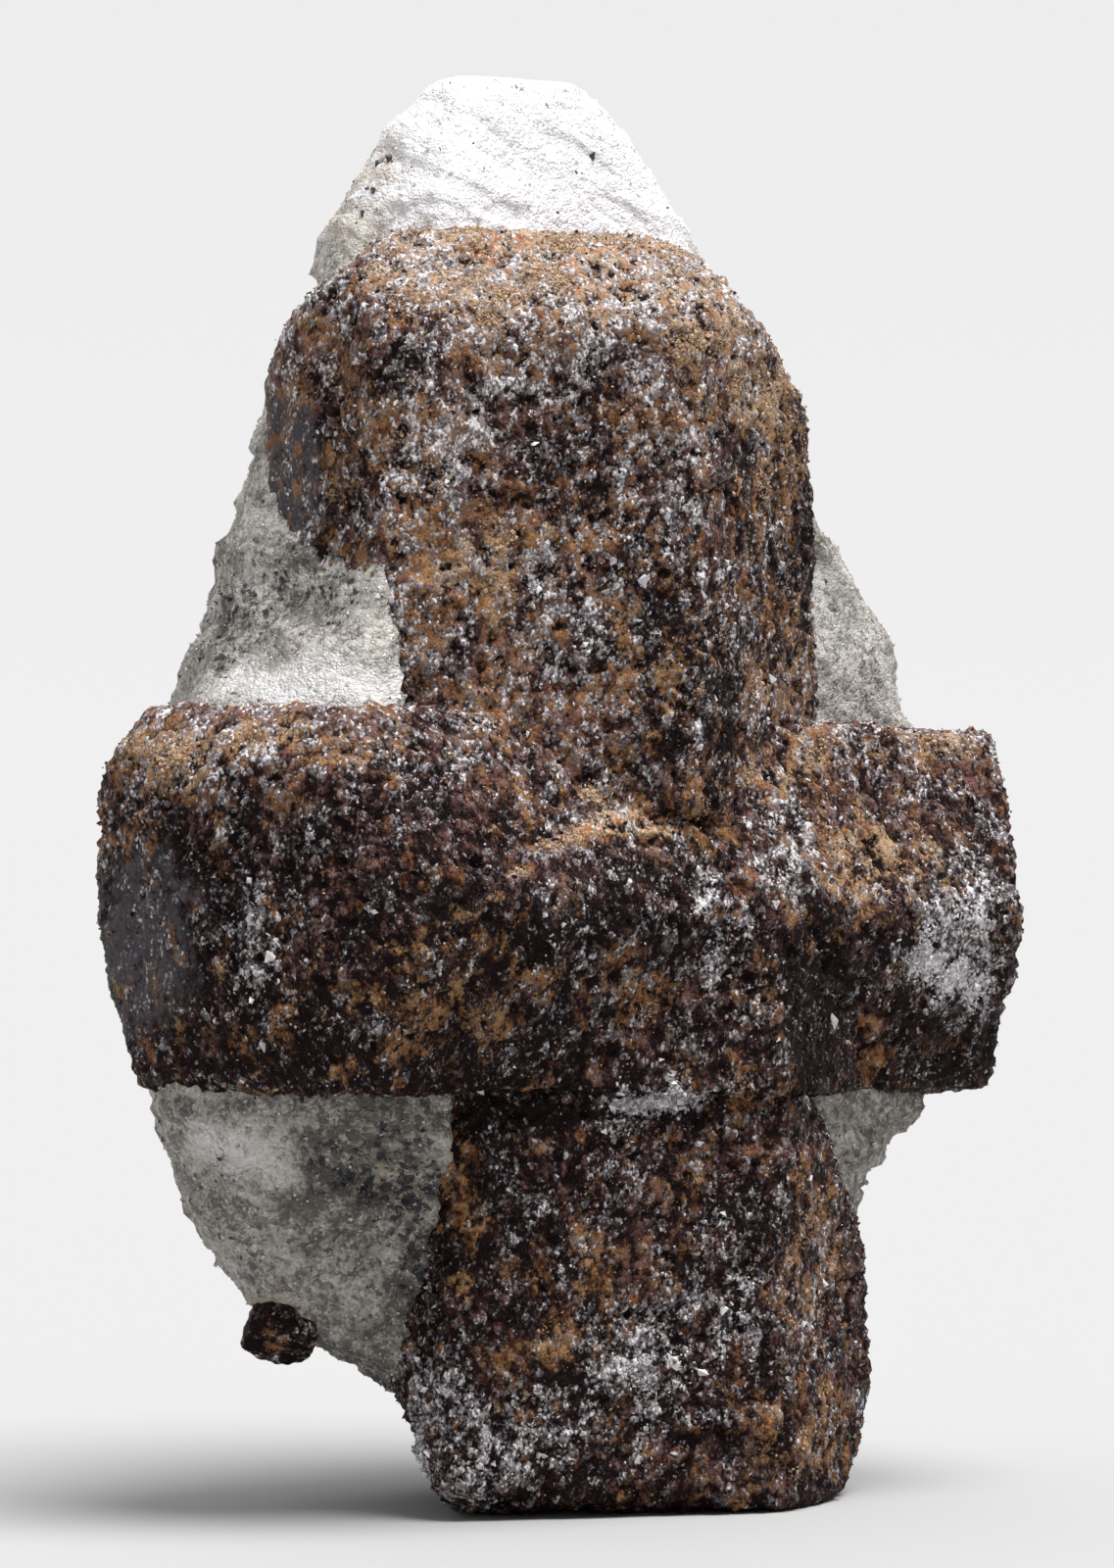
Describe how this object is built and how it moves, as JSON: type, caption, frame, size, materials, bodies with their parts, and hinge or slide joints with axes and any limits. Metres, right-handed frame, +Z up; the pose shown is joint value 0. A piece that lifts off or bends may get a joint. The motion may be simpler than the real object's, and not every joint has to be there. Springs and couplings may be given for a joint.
{
  "type": "staurolite cross",
  "caption": "Upright natural stone cross: dark brown prismatic crystals grown through each other at a right angle, backed by a rounded pebble of pale mica schist.",
  "frame": {"origin": "centre of the bounding box's bottom, on the surface the specimen stands on", "axes": "+Z up along the long crystal, +X along the short crystal towards its right end, -Y out of the front of the cross; the picture looks from 42 degrees to the left of the front"},
  "size_m": [0.023, 0.0125, 0.0327],
  "materials": {
    "staurolite": "rough, granular, dark reddish brown with tan rust and small pale grains",
    "schist": "fine-grained, matt, pale grey with dark specks",
    "small_crystal": "rough, dark brown"
  },
  "bodies": {
    "root": {"staurolite_twin": "staurolite", "mica_schist_matrix": "schist", "small_side_crystal": "small_crystal"}
  },
  "joints": []
}
